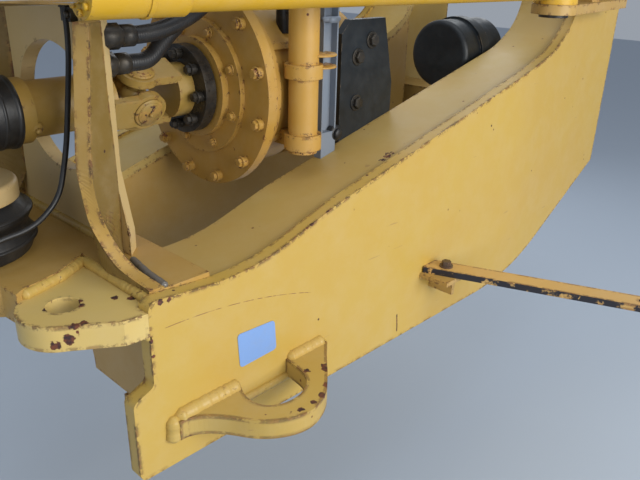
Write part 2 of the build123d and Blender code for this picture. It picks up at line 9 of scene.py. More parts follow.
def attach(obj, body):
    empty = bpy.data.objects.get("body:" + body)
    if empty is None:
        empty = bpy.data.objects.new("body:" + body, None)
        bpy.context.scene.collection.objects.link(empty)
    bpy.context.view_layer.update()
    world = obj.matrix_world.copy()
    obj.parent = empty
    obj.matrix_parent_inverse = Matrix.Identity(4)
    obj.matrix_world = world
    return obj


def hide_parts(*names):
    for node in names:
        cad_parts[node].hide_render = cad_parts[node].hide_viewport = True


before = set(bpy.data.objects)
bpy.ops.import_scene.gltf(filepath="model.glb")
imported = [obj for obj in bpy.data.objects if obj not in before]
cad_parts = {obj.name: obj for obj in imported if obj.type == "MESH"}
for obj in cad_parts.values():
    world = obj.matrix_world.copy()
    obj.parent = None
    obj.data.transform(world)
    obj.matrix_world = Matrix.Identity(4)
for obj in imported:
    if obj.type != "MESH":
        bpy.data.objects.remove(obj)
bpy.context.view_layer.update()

# Sizes and places, metres, in the row frame
CORNER_X = -0.158
OUTER_Y = 0.417
SHAFT_Z = 0.246
JOINT_X = CORNER_X - 0.233
RING_X = CORNER_X - 0.414
FLOOR_Z = -0.86
FLOOR_HALF = 14

# Camera: its place and the directions of its own axes
CAMERA_PLACE = (0.3729, 1.2709, 0.5279)
CAMERA_RIGHT = (-0.6905, 0.7230, 0.0252)
CAMERA_UP = (-0.2671, -0.2870, 0.9200)
CAMERA_BACK = (0.6723, 0.6286, 0.3911)
CAMERA_LENS = 37.52
CAMERA_SENSOR = 36.0
CAMERA_NEAR = 0.02

# Directions and sides
FORWARD = (1, 0, 0)
REARWARD = (-1, 0, 0)
LEFT = (0, 1, 0)
RIGHT = (0, -1, 0)
UP = (0, 0, 1)
SIDES = (("left", 1), ("right", -1))

# Colours, linear
YELLOW_WORN = (0.50, 0.27, 0.055, 1)
YELLOW_HAZE = (0.60, 0.50, 0.33, 1)
HALO = (0.44, 0.24, 0.07, 1)
SCRATCH = (0.30, 0.17, 0.07, 1)
SCRAPE = (0.20, 0.09, 0.04, 1)
PEELED = (0.022, 0.020, 0.026, 1)
CHIP = (0.040, 0.018, 0.017, 1)
RUST = (0.16, 0.05, 0.022, 1)
STEEL = (0.030, 0.028, 0.026, 1)
STEEL_DUST = (0.16, 0.13, 0.09, 1)
RUBBER = (0.012, 0.012, 0.013, 1)
RUBBER_DUST = (0.085, 0.075, 0.06, 1)
BLACK = (0.005, 0.008, 0.011, 1)
BLACK_DUST = (0.045, 0.055, 0.06, 1)
BLACK_WORN = (0.18, 0.13, 0.08, 1)
METAL_DULL = (0.30, 0.29, 0.27, 1)
DECAL_BLUE = (0.20, 0.345, 0.66, 1)
DECAL_DIRT = (0.26, 0.30, 0.38, 1)
FLOOR_COLOUR = (0.42, 0.48, 0.56, 1)
FLOOR_SHADE = 0.92
SKY = (0.80, 0.88, 1.0, 1)
SKY_STRENGTH = 0.39

# Surface settings shared by the materials, in metres
BUMP_DEPTH = 0.001
EDGE_ROUND = 0.0015
PAINT_EDGE = 0.013
PAINT_SPECULAR = 0.42

# Sockets of a colour mix node: its factor, its two colours and its result
MIX_FACTOR = 0
MIX_FIRST = 6
MIX_SECOND = 7
MIX_RESULT = 2


class Graph:
    """Short calls for a material's nodes."""

    def __init__(self, name):
        self.material = bpy.data.materials.new(name)
        self.material.use_nodes = True
        self.tree = self.material.node_tree
        self.shader = self.tree.nodes["Principled BSDF"]
        self.place = self.node("ShaderNodeTexCoord").outputs["Object"]

    def node(self, kind, **settings):
        made = self.tree.nodes.new(kind)
        for key, value in settings.items():
            setattr(made, key, value)
        return made

    def feed(self, socket, value):
        if isinstance(value, bpy.types.NodeSocket):
            self.tree.links.new(value, socket)
        else:
            socket.default_value = value

    def math(self, operation, first, second=0.0):
        made = self.node("ShaderNodeMath", operation=operation)
        self.feed(made.inputs[0], first)
        self.feed(made.inputs[1], second)
        return made.outputs[0]

    def times(self, first, second):
        return self.math("MULTIPLY", first, second)

    def plus(self, first, second):
        return self.math("ADD", first, second)

    def minus(self, first, second):
        return self.math("SUBTRACT", first, second)

    def noise(self, scale, detail=4.0, rough=0.6, place=None):
        made = self.node("ShaderNodeTexNoise")
        self.feed(made.inputs["Vector"], place or self.place)
        made.inputs["Scale"].default_value = scale
        made.inputs["Detail"].default_value = detail
        made.inputs["Roughness"].default_value = rough
        return made.outputs["Fac"]

    def stretched(self, factors, turn=(0, 0, 0)):
        made = self.node("ShaderNodeMapping")
        self.feed(made.inputs["Vector"], self.place)
        made.inputs["Scale"].default_value = factors
        made.inputs["Rotation"].default_value = turn
        return made.outputs[0]

    def step(self, value, low, high):
        """0 at the low level and 1 at the high one, which may be the smaller number."""
        made = self.node("ShaderNodeMapRange")
        self.feed(made.inputs["Value"], value)
        made.inputs["From Min"].default_value = low
        made.inputs["From Max"].default_value = high
        return made.outputs[0]

    def blotches(self, scale, detail, rough, low, high):
        """Noise between two of its levels."""
        return self.step(self.noise(scale, detail, rough), low, high)

    def mix(self, factor, first, second):
        made = self.node("ShaderNodeMix", data_type="RGBA")
        self.feed(made.inputs[MIX_FACTOR], factor)
        self.feed(made.inputs[MIX_FIRST], first)
        self.feed(made.inputs[MIX_SECOND], second)
        return made.outputs[MIX_RESULT]

    def rounded_normal(self, radius):
        bevel = self.node("ShaderNodeBevel", samples=4)
        bevel.inputs["Radius"].default_value = radius
        return bevel.outputs[0]

    def edge(self, radius):
        """About 0 on flats and up to 1 near a sharp edge."""
        dot = self.node("ShaderNodeVectorMath", operation="DOT_PRODUCT")
        self.feed(dot.inputs[0], self.rounded_normal(radius))
        self.feed(dot.inputs[1], self.node("ShaderNodeNewGeometry").outputs["Normal"])
        return self.minus(1.0, dot.outputs["Value"])

    def spot(self, centre, radius):
        """1 inside a ragged blot round a point of the object."""
        gap = self.node("ShaderNodeVectorMath", operation="DISTANCE")
        self.feed(gap.inputs[0], self.place)
        gap.inputs[1].default_value = centre
        shake = self.times(self.minus(self.noise(120, 3), 0.5), radius * 2)
        return self.step(self.plus(gap.outputs["Value"], shake), radius, radius * 0.9)

    def bump(self, height, strength, round_edges=EDGE_ROUND):
        made = self.node("ShaderNodeBump")
        self.feed(made.inputs["Height"], height)
        made.inputs["Strength"].default_value = strength
        made.inputs["Distance"].default_value = BUMP_DEPTH
        if round_edges:
            self.feed(made.inputs["Normal"], self.rounded_normal(round_edges))
        self.feed(self.shader.inputs["Normal"], made.outputs[0])

    def finish(self, colour, roughness, metallic=0.0):
        self.feed(self.shader.inputs["Base Color"], colour)
        self.feed(self.shader.inputs["Roughness"], roughness)
        self.feed(self.shader.inputs["Metallic"], metallic)
        return self.material


def specks(g):
    """Small round chips, in some places only."""
    cells = g.node("ShaderNodeTexVoronoi", feature="F1")
    g.feed(cells.inputs["Vector"], g.place)
    cells.inputs["Scale"].default_value = 26
    chip = g.step(cells.outputs["Distance"], 0.085, 0.065)
    return g.times(chip, g.blotches(6, 2, 0.6, low=0.56, high=0.60))


def peeled_sides(g):
    """Bare patches on upright faces."""
    facing = g.node("ShaderNodeSeparateXYZ")
    g.feed(facing.inputs[0], g.node("ShaderNodeTexCoord").outputs["Normal"])
    upright = g.step(g.math("ABSOLUTE", facing.outputs["Z"]), 0.6, 0.4)
    return g.times(upright, g.blotches(26, 5, 0.7, low=0.42, high=0.46))


def yellow_paint(name, base, wear, grime=0.35, blots=(), line=None, peel=False):
    """Worn machine paint: clouded yellow, chips along edges, specks, thin scratches and named blots."""
    g = Graph(name)
    cloud = g.blotches(2.3, 5, 0.65, low=0.30, high=0.75)
    shade = g.mix(g.times(cloud, grime), base, YELLOW_WORN)
    haze = g.blotches(14, 6, 0.7, low=0.42, high=0.80)
    shade = g.mix(g.times(haze, 0.16), shade, YELLOW_HAZE)

    edge = g.step(g.edge(PAINT_EDGE), 0.008, 0.05)
    ragged = g.blotches(62, 6, 0.75, low=0.60 - 0.075 * wear, high=0.63 - 0.075 * wear)
    patch = g.blotches(11, 4, 0.65, low=0.44 - 0.03 * wear, high=0.56 - 0.03 * wear)
    chips = g.step(g.times(g.times(edge, ragged), patch), 0.15, 0.4)
    dark = g.math("MAXIMUM", chips, specks(g))
    for centre, radius in blots:
        dark = g.math("MAXIMUM", dark, g.spot(centre, radius))

    rubbed = g.times(edge, g.blotches(48, 5, 0.7, low=0.50, high=0.56))
    halo = g.times(g.step(rubbed, 0.1, 0.5), patch)
    shade = g.mix(g.times(halo, 0.5), shade, HALO)
    streak = g.noise(36, 2, 0.4, g.stretched((0.25, 1, 3.2), turn=(0.3, 0.6, 0.2)))
    shade = g.mix(g.times(g.step(streak, 0.760, 0.770), 0.45), shade, SCRATCH)
    if line:
        shade = g.mix(line(g), shade, SCRAPE)
    shade = g.mix(dark, shade, g.mix(g.blotches(90, 3, 0.6, low=0.4, high=0.6), CHIP, RUST))
    if peel:
        shade = g.mix(peeled_sides(g), shade, PEELED)

    rough = g.plus(g.times(g.noise(30), 0.18), g.times(dark, 0.3))
    height = g.minus(g.times(g.noise(180, 3), 0.25), g.times(dark, 0.6))
    g.bump(height, strength=0.25)
    g.shader.inputs["Specular IOR Level"].default_value = PAINT_SPECULAR
    return g.finish(shade, g.plus(rough, 0.32))


# A curved scrape across the left side plate: it sinks by the bend times the distance squared
SCRAPE_TOP_X = -0.163
SCRAPE_TOP_Z = -0.056
SCRAPE_BEND = -0.47
SCRAPE_FRONT_X = -0.16
SCRAPE_REAR_X = -0.52
SCRAPE_FADE = 0.005
SCRAPE_HALF = 0.0009


def arc_line(g):
    """The scrape, thin and broken, on the outer face only."""
    parts = g.node("ShaderNodeSeparateXYZ")
    g.feed(parts.inputs[0], g.place)
    x, y, z = parts.outputs
    across = g.minus(x, SCRAPE_TOP_X)
    sag = g.times(g.times(across, across), SCRAPE_BEND)
    off = g.math("ABSOLUTE", g.minus(z, g.plus(sag, SCRAPE_TOP_Z)))
    thin = g.step(off, SCRAPE_HALF, SCRAPE_HALF - 0.0005)
    behind = g.step(x, SCRAPE_FRONT_X, SCRAPE_FRONT_X - SCRAPE_FADE)
    inside = g.times(g.step(x, SCRAPE_REAR_X, SCRAPE_REAR_X + SCRAPE_FADE), behind)
    broken = g.blotches(90, 3, 0.6, low=0.38, high=0.52)
    face = g.step(y, OUTER_Y - 0.002, OUTER_Y - 0.001)
    return g.times(g.times(thin, inside), g.times(broken, face))


def oily_steel(name, base, dust, metallic):
    g = Graph(name)
    cloud = g.blotches(24, 5, 0.7, low=0.40, high=0.70)
    shade = g.mix(g.times(cloud, dust), base, STEEL_DUST)
    g.bump(g.noise(140), strength=0.35)
    return g.finish(shade, g.blotches(30, 4, 0.6, low=0.1, high=1.1), metallic)


def rubber(name, base=RUBBER, ribs=0.0):
    g = Graph(name)
    dusty = g.blotches(20, 5, 0.7, low=0.48, high=0.85)
    shade = g.mix(g.times(dusty, 0.35), base, RUBBER_DUST)
    height = g.noise(220, 3)
    if ribs:
        wave = g.node("ShaderNodeTexWave")
        g.feed(wave.inputs["Vector"], g.place)
        wave.inputs["Scale"].default_value = ribs
        height = g.plus(height, wave.outputs["Fac"])
    g.bump(height, strength=0.2)
    return g.finish(shade, g.blotches(25, 3, 0.6, low=-0.4, high=1.6))


def black_paint(name):
    g = Graph(name)
    dusty = g.blotches(12, 5, 0.7, low=0.42, high=0.80)
    shade = g.mix(g.times(dusty, 0.35), BLACK, BLACK_DUST)
    worn = g.times(g.step(g.edge(0.004), 0.04, 0.2), g.blotches(60, 4, 0.6, low=0.52, high=0.6))
    shade = g.mix(worn, shade, BLACK_WORN)
    g.bump(g.noise(150, 3), strength=0.2)
    return g.finish(shade, g.blotches(30, 3, 0.6, low=-0.3, high=1.5))


def bright_metal(name, base, low, high, metallic):
    """Brushed metal, its roughness between two values."""
    g = Graph(name)
    brushed = g.noise(90, place=g.stretched((0.15, 1, 1)))
    dull = g.blotches(10, 4, 0.6, low=0.45, high=0.8)
    shade = g.mix(g.times(dull, 0.5), base, METAL_DULL)
    g.bump(brushed, strength=0.12)
    return g.finish(shade, g.plus(g.times(brushed, high - low), low), metallic)


def decal_face(name):
    g = Graph(name)
    dirt = g.blotches(30, 5, 0.7, low=0.50, high=0.80)
    shade = g.mix(g.times(dirt, 0.30), DECAL_BLUE, DECAL_DIRT)
    g.bump(g.noise(120, 3), strength=0.08, round_edges=0.0)
    return g.finish(shade, g.plus(g.times(g.noise(20), 0.2), 0.3))


def plain_ground(name, colour):
    g = Graph(name)
    darker = tuple(FLOOR_SHADE * part for part in colour[:3]) + (1,)
    shade = g.mix(g.times(g.noise(1.5), 0.10), colour, darker)
    return g.finish(shade, g.plus(g.times(g.noise(8), 0.1), 0.55))


# Bare and rusty spots, as (place, radius)
TOP_BLOTS = [
    ((-0.818, 0.365, 0.100), 0.014), ((-0.832, 0.362, 0.103), 0.013), ((-0.800, 0.366, 0.096), 0.011),
    ((-0.845, 0.366, 0.107), 0.008),
]
EAR_BLOTS = [
    ((-0.020, 0.366, -0.040), 0.010), ((-0.004, 0.352, -0.048), 0.009), ((-0.036, 0.368, -0.030), 0.007),
    ((-0.046, 0.371, -0.017), 0.007), ((-0.030, 0.369, -0.017), 0.008), ((-0.070, 0.315, -0.018), 0.007),
    ((-0.075, 0.300, -0.018), 0.006), ((-0.125, 0.330, -0.017), 0.007), ((-0.145, 0.350, -0.017), 0.008),
    ((-0.022, 0.290, -0.018), 0.006),
]
LUG_BLOTS = [
    ((-0.383, 0.559, -0.245), 0.007), ((-0.410, 0.556, -0.246), 0.008), ((-0.440, 0.540, -0.248), 0.009),
    ((-0.350, 0.559, -0.246), 0.007), ((-0.330, 0.552, -0.250), 0.006), ((-0.478, 0.500, -0.245), 0.010),
    ((-0.485, 0.490, -0.250), 0.009), ((-0.446, 0.478, -0.245), 0.008), ((-0.400, 0.505, -0.245), 0.007),
    ((-0.310, 0.540, -0.284), 0.007), ((-0.365, 0.560, -0.284), 0.009), ((-0.245, 0.500, -0.246), 0.006),
]
CASE_BLOTS = [((-0.560, 0.11, 0.12), 0.010), ((-0.558, 0.14, 0.36), 0.010), ((-0.573, 0.20, 0.30), 0.008)]

# The same on the outer face of the side plate, as (x, z, radius), with a short upright scratch behind them
SIDE_SPOTS = [
    (-0.158, -0.004, 0.006), (-0.176, -0.006, 0.005), (-0.300, 0.000, 0.005), (-0.330, 0.006, 0.004),
    (-0.420, 0.022, 0.005), (-0.405, 0.018, 0.006), (-0.515, 0.040, 0.007), (-0.500, 0.036, 0.006),
    (-0.560, 0.056, 0.006), (-0.135, -0.070, 0.004), (-0.137, -0.100, 0.004),
]
SIDE_SPOTS += [(-0.829 - 0.0005 * k, -0.291 - 0.005 * k, 0.0028) for k in range(10)]
SIDE_BLOTS = [((x, OUTER_Y, z), radius) for x, z, radius in SIDE_SPOTS]

# Materials by look; some yellow paints are lighter or darker copies of one paint, as painted light and
# shade, noted at each
M = {
    "frame": yellow_paint("frame_paint", (0.44, 0.275, 0.075, 1), wear=0.9),
    "wing": yellow_paint("wing_paint", (0.40, 0.245, 0.055, 1), wear=1.3),
    # The uprights' rear, front and foot faces: a much darker copy of the wing paint, a painted shade for the
    # shade they lie in
    "shaded_wing_sides": yellow_paint("wing_painted_shade_paint", (0.185, 0.120, 0.030, 1), wear=1.0, grime=0.1),
    "beam": yellow_paint("beam_paint", (0.48, 0.345, 0.110, 1), wear=0.9, grime=0.4, blots=TOP_BLOTS),
    "side": yellow_paint("side_paint", (0.53, 0.355, 0.074, 1), wear=1.7, blots=SIDE_BLOTS, line=arc_line),
    # The lock ears: a lighter copy of the yellow paint, painted light for their lit tops; their blots are
    # real bare spots
    "ear": yellow_paint("lit_ear_paint", (0.62, 0.46, 0.155, 1), wear=1.5, blots=EAR_BLOTS),
    "lug": yellow_paint("lug_paint", (0.47, 0.325, 0.080, 1), wear=2.4, blots=LUG_BLOTS),
    "case": yellow_paint("case_paint", (0.39, 0.225, 0.040, 1), wear=0.5, grime=0.8, blots=CASE_BLOTS),
    "shaft": yellow_paint("shaft_paint", (0.29, 0.195, 0.046, 1), wear=0.5, grime=0.8),
    "steer": yellow_paint("steer_paint", (0.62, 0.36, 0.015, 1), wear=0.7, grime=0.2),
    "brace": yellow_paint("brace_paint", (0.60, 0.38, 0.13, 1), wear=1.9, grime=0.4, peel=True),
    "weld": yellow_paint("weld_paint", (0.50, 0.345, 0.085, 1), wear=0.0, grime=0.4),
    # The bulkhead: a lighter copy of the yellow paint, painted light for the light that falls on its front
    "wall": yellow_paint("lit_wall_paint", (0.62, 0.46, 0.21, 1), wear=0.7, grime=0.2),
    # The filler column: a lighter copy of the yellow paint, a painted light on a part that stands in shade
    "column": yellow_paint("lit_column_paint", (0.50, 0.285, 0.052, 1), wear=0.9, grime=0.5),
    "bare_weld": oily_steel("bare_weld", (0.17, 0.16, 0.15, 1), dust=0.5, metallic=0.2),
    "steel": oily_steel("oily_steel", STEEL, dust=0.35, metallic=0.55),
    "bolt": oily_steel("bolt_rust", (0.085, 0.045, 0.03, 1), dust=0.6, metallic=0.2),
    "rubber": rubber("black_rubber"),
    "hose": rubber("hose_rubber", ribs=60),
    "sleeve": rubber("sleeve_plastic", (0.010, 0.010, 0.011, 1)),
    "black": black_paint("black_paint"),
    "chrome": bright_metal("chrome_rod", (0.70, 0.70, 0.71, 1), low=0.08, high=0.25, metallic=1.0),
    "alloy": bright_metal("sight_alloy", (0.20, 0.235, 0.29, 1), low=0.35, high=0.60, metallic=0.1),
    "decal": decal_face("blank_decal"),
    "cap": yellow_paint("cap_paint", (0.44, 0.33, 0.16, 1), wear=0.3, grime=0.5),
}

# Looks by the start of a node's name, the last match counting; every other node has the frame's look
NODE_LOOKS = {
    "side_plate": "side", "beam_top": "beam", "wing": "wing", "lock_ear": "ear", "tie_down_lug": "lug",
    "transmission_case": "case", "output_ring": "case", "filler_column": "column", "steer_barrel": "steer",
    "brace_bar": "brace", "shaft_tube_yoke": "shaft", "flange_yoke": "shaft", "joint_cross": "shaft",
    "output_flange": "steel", "shaft_sleeve": "sleeve", "hinge_boot": "rubber", "hinge_cap": "cap",
    "hose_": "hose", "sensor_cable": "rubber", "cable_clamp": "steel", "hose_ports": "steel",
    "filter_": "black", "mount_plate": "black", "sight_gauge": "alloy", "brace_bolt": "bolt",
    "steer_pin": "steel", "steer_rod": "chrome",
}


def dress_nodes():
    for name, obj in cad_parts.items():
        look = "frame"
        for start, wanted in NODE_LOOKS.items():
            if name.startswith(start):
                look = wanted
        obj.data.materials.clear()
        obj.data.materials.append(M[look])


def piece(name, mesh, look, body="rear_frame", smooth=True):
    data = bpy.data.meshes.new(name)
    bmesh.ops.recalc_face_normals(mesh, faces=mesh.faces)
    mesh.to_mesh(data)
    mesh.free()
    obj = bpy.data.objects.new(name, data)
    bpy.context.scene.collection.objects.link(obj)
    if smooth:
        for face in data.polygons:
            face.use_smooth = True
    data.materials.append(M[look])
    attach(obj, body)
    return obj


def aim(axis):
    return Vector(UP).rotation_difference(Vector(axis)).to_matrix().to_4x4()


def ring(mesh, place, radius, sides, height=0.0):
    """New points evenly round a place's own Z axis."""
    angles = [2 * math.pi * index / sides for index in range(sides)]
    spots = [Vector((radius * math.cos(angle), radius * math.sin(angle), height)) for angle in angles]
    return [mesh.verts.new(place @ spot) for spot in spots]


def add_walls(mesh, loops, around=True):
    """Quads between each line of points and the next one."""
    for low, high in zip(loops, loops[1:]):
        for index in range(len(low) if around else len(low) - 1):
            after = (index + 1) % len(low)
            mesh.faces.new((low[index], low[after], high[after], high[index]))


def add_tube(mesh, rings):
    """Walls through rings of points, and a face over each end."""
    add_walls(mesh, rings)
    mesh.faces.new(rings[-1])
    mesh.faces.new(list(reversed(rings[0])))


def add_disc(mesh, at, axis, radius, height, sides, chamfer, turn=0.0):
    """A prism standing on a point along an axis, its far edge chamfered by a part of its height."""
    place = Matrix.Translation(at) @ aim(axis) @ Matrix.Rotation(turn, 4, "Z")
    cut = chamfer * height
    levels = [(radius, 0.0), (radius, height - cut), (radius - cut, height)]
    add_tube(mesh, [ring(mesh, place, level_radius, sides, z) for level_radius, z in levels])


def stack(at, axis, layers):
    """What add_disc takes for discs that stand on each other along an axis."""
    at = Vector(at)
    axis = Vector(axis)
    rows = []
    for layer in layers:
        rows.append((at, axis, *layer))
        at = at + axis * layer[1]
    return rows


def discs(name, rows, look, body="rear_frame"):
    """One piece of discs, from rows that stack makes."""
    mesh = bmesh.new()
    for row in rows:
        add_disc(mesh, *row)
    piece(name, mesh, look, body)


# A bolt head's flange as parts of its height and size, and the turn from one head to the next
BOLT_FLANGE_HEIGHT = 0.25
BOLT_FLANGE_SIZE = 1.35
BOLT_TURN = 0.7


def add_bolt(mesh, at, axis, size, height, turn=0.0):
    """A hexagon head on a round flange, its size being the radius over its corners."""
    axis = Vector(axis).normalized()
    at = Vector(at)
    flange = height * BOLT_FLANGE_HEIGHT
    add_disc(mesh, at, axis, size * BOLT_FLANGE_SIZE, flange, sides=24, chamfer=0.4)
    add_disc(mesh, at + axis * flange, axis, size, height - flange, sides=6, chamfer=0.22, turn=turn)


def bolts(name, spots, axis, size, height, look="case", body="rear_frame"):
    """Bolt heads in one piece, each turned a little further than the one before."""
    mesh = bmesh.new()
    for index, at in enumerate(spots):
        add_bolt(mesh, at, axis, size, height, BOLT_TURN * index)
    piece(name, mesh, look, body, smooth=False)


def sweep(points, radius_at, sides, spacing):
    """A closed tube along straight runs between points, its radius a function of the distance."""
    points = [Vector(p) for p in points]
    samples = []
    travelled = 0.0
    for first, second in zip(points, points[1:]):
        run = (second - first).length
        count = max(1, round(run / spacing))
        for index in range(count):
            part = index / count
            samples.append((first.lerp(second, part), second - first, travelled + run * part))
        travelled += run
    samples.append((points[-1], points[-1] - points[-2], travelled))
    mesh = bmesh.new()
    rings = []
    for at, direction, distance in samples:
        place = Matrix.Translation(at) @ aim(direction)
        rings.append(ring(mesh, place, radius_at(distance, travelled), sides))
    add_tube(mesh, rings)
    return mesh


# Weld beads, in parts of their radius: lumps, ripples and their run, the ends and the run of one ring
WELD_LUMP = 0.05
WELD_RIPPLE = 0.025
WELD_RIPPLE_RUN = 0.55
WELD_END = 0.45
WELD_RING_RUN = 0.18
WELD_SIDES = 8

# How many lumps are drawn, and how far each one runs, in metres
WELD_LUMPS = 400
WELD_LUMP_RUN = 0.006


def weld(name, points, radius, look="weld"):
    """A rippled bead of weld metal along a seam."""
    dice = random.Random(name)
    lumps = [dice.uniform(-WELD_LUMP, WELD_LUMP) for _ in range(WELD_LUMPS)]

    def radius_at(distance, whole):
        taper = min(1.0, distance / radius + WELD_END, (whole - distance) / radius + WELD_END)
        ripple = WELD_RIPPLE * math.sin(distance * 2 * math.pi / (radius * WELD_RIPPLE_RUN))
        return radius * taper * (1 + ripple + lumps[int(distance / WELD_LUMP_RUN) % len(lumps)])

    piece(name, sweep(points, radius_at, WELD_SIDES, radius * WELD_RING_RUN), look)


def both(points):
    """The same points on the right side."""
    return [(x, -y, z) for x, y, z in points]


def between(points, index, part):
    """A smooth curve through the points, after the point at the index."""
    last = len(points) - 1
    before, first, second, after = (Vector(points[min(max(index + k, 0), last)]) for k in (-1, 0, 1, 2))
    pull = (second - before) * part + (2 * before - 5 * first + 4 * second - after) * part ** 2
    pull += (3 * first - before - 3 * second + after) * part ** 3
    return first + pull * 0.5


# Stations down the left wing's edge: its front line, its rear line, the feet of its front and rear faces
WING = [
    ((-0.171, 0.1985, 0.420), (-0.186, 0.2245, 0.420), (-0.218, 0.1714, 0.420), (-0.218, 0.206, 0.420)),
    ((-0.1536, 0.2085, 0.296), (-0.1686, 0.2345, 0.296), (-0.218, 0.1714, 0.296), (-0.218, 0.206, 0.296)),
    ((-0.1345, 0.226, 0.196), (-0.148, 0.253, 0.196), (-0.218, 0.178, 0.196), (-0.218, 0.211, 0.196)),
    ((-0.133, 0.236, 0.147), (-0.150, 0.2577, 0.125), (-0.218, 0.185, 0.070), (-0.218, 0.211, 0.090)),
    ((-0.137, 0.2448, 0.092), (-0.160, 0.2688, 0.0759), (-0.170, 0.206, -0.002), (-0.218, 0.2106, -0.002)),
    ((-0.144, 0.2759, 0.047), (-0.170, 0.2959, 0.036), (-0.152, 0.260, -0.002), (-0.202, 0.270, -0.002)),
    ((-0.151, 0.313, 0.019), (-0.179, 0.324, 0.015), (-0.155, 0.308, -0.002), (-0.194, 0.323, -0.002)),
    ((-0.158, 0.386, 0.005), (-0.188, 0.386, 0.003), (-0.158, 0.386, -0.002), (-0.188, 0.386, -0.002)),
]
WING_STEPS = 7


def add_wings():
    """The splayed uprights, each one plate whose edge sweeps out to the side plate's corner."""
    lines = list(zip(*WING))
    spans = range(len(WING) - 1)
    stations = [(index, step / WING_STEPS) for index in spans for step in range(WING_STEPS)]
    stations.append((spans[-1], 1.0))
    for side, sign in SIDES:
        mesh = bmesh.new()
        rows = []
        for index, part in stations:
            corners = [between(line, index, part) for line in lines]
            rows.append([mesh.verts.new((p.x, sign * p.y, p.z)) for p in corners])
        for low, high in zip(rows, rows[1:]):
            for one, two in ((0, 1), (1, 3), (3, 2), (2, 0)):
                face = mesh.faces.new((low[one], low[two], high[two], high[one]))
                # Every face but the edge band takes the darker copy of the wing paint, which paints in their
                # shade
                face.material_index = int((one, two) != (0, 1))
        for row in (rows[0], rows[-1]):
            mesh.faces.new((row[0], row[1], row[3], row[2]))
        made = piece("swept_wing_" + side, mesh, "wing", smooth=False)
        made.data.materials.append(M["shaded_wing_sides"])
        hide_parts("wing_" + side)


# Plan of a left lug: its outer rim from the front, then its hole, which is open to the side plate
LUG_RIM = [
    (-0.169, 0.434), (-0.188, 0.436), (-0.214, 0.452), (-0.241, 0.484), (-0.264, 0.520), (-0.290, 0.547),
    (-0.325, 0.567), (-0.360, 0.574), (-0.395, 0.567), (-0.430, 0.549), (-0.472, 0.512), (-0.515, 0.470),
    (-0.556, 0.432),
]
LUG_HOLE = [
    (-0.446, OUTER_Y), (-0.443, 0.446), (-0.437, 0.476), (-0.424, 0.500), (-0.404, 0.515), (-0.377, 0.525),
    (-0.346, 0.524), (-0.322, 0.513), (-0.308, 0.497), (-0.302, 0.476), (-0.305, 0.452), (-0.314, 0.432),
    (-0.322, OUTER_Y),
]
LUG_FRONT = -0.168
LUG_REAR = -0.558
LUG_TOP = -0.245
LUG_BOTTOM = -0.285
LUG_RIM_POINTS = 58
CURVE_STEPS = 8

# How far each lug stands out: the right one is a little flatter, to stay inside the solids' outer box
LUG_REACH = {"left": 1.0, "right": 0.90}


def even_points(line, count):
    """Points at even distances along a smooth curve through a line's points."""
    flat = [(x, y, 0) for x, y in line]
    spans = range(len(flat) - 1)
    fine = [between(flat, index, step / CURVE_STEPS) for index in spans for step in range(CURVE_STEPS)]
    fine.append(Vector(flat[-1]))
    runs = [0.0]
    for first, second in zip(fine, fine[1:]):
        runs.append(runs[-1] + (second - first).length)
    spots = []
    for index in range(count):
        wanted = runs[-1] * index / (count - 1)
        place = max(k for k in range(len(runs) - 1) if runs[k] <= wanted)
        part = (wanted - runs[place]) / (runs[place + 1] - runs[place])
        spots.append(fine[place].lerp(fine[place + 1], min(part, 1.0)))
    return spots


def add_lugs():
    """The lashing lugs, each a D of thick plate round a hole that reaches the side plate."""
    rim = [Vector((LUG_FRONT, OUTER_Y, 0))] + even_points(LUG_RIM, LUG_RIM_POINTS)
    rim.append(Vector((LUG_REAR, OUTER_Y, 0)))
    hole = even_points(list(reversed(LUG_HOLE)), len(rim))
    for side, sign in SIDES:
        reach = LUG_REACH[side]
        mesh = bmesh.new()
        loops = []
        for line, z in ((rim, LUG_TOP), (hole, LUG_TOP), (hole, LUG_BOTTOM), (rim, LUG_BOTTOM)):
            spots = [(spot.x, sign * (OUTER_Y + reach * (spot.y - OUTER_Y)), z) for spot in line]
            loops.append([mesh.verts.new(spot) for spot in spots])
        add_walls(mesh, loops + loops[:1], around=False)
        for end in (0, -1):
            mesh.faces.new([loop[end] for loop in loops])
        made = piece("lashing_lug_" + side, mesh, "lug", smooth=False)
        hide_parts("tie_down_lug_" + side)


# Half outline of the bulkhead as distance from the centre plane and height
BULK_HALF = [(0.235, 0.0), (0.235, 0.04), (0.204, 0.15), (0.204, 0.42), (0.185, 0.44), (0.185, 0.47)]
BULK_FRONT = -0.218
BULK_REAR = -0.248
BULK_CHAMFER = 0.031
BULK_REAR_HALF = 0.150
BULK_OVAL = (0.150, 0.125)
BULK_RAYS = 120
PARALLEL = 1e-9
CORNER_SLACK = 1e-4


def outline_reach(corners, ray):
    """How far a ray from the shaft's axis runs to the outline round it."""
    for first, second in zip(corners, corners[1:] + corners[:1]):
        run = (second[0] - first[0], second[1] - first[1])
        start = (first[0], first[1] - SHAFT_Z)
        cross = ray[0] * run[1] - ray[1] * run[0]
        if abs(cross) < PARALLEL:
            continue
        reach = (start[0] * run[1] - start[1] * run[0]) / cross
        part = (start[0] * ray[1] - start[1] * ray[0]) / cross
        if reach > 0 and -CORNER_SLACK <= part <= 1 + CORNER_SLACK:
            return reach


def ground_away(y):
    """A place across the bulkhead's rear face, drawn in where it lies near the outer edge."""
    return math.copysign(min(abs(y), max(abs(y) - BULK_CHAMFER, BULK_REAR_HALF)), y)


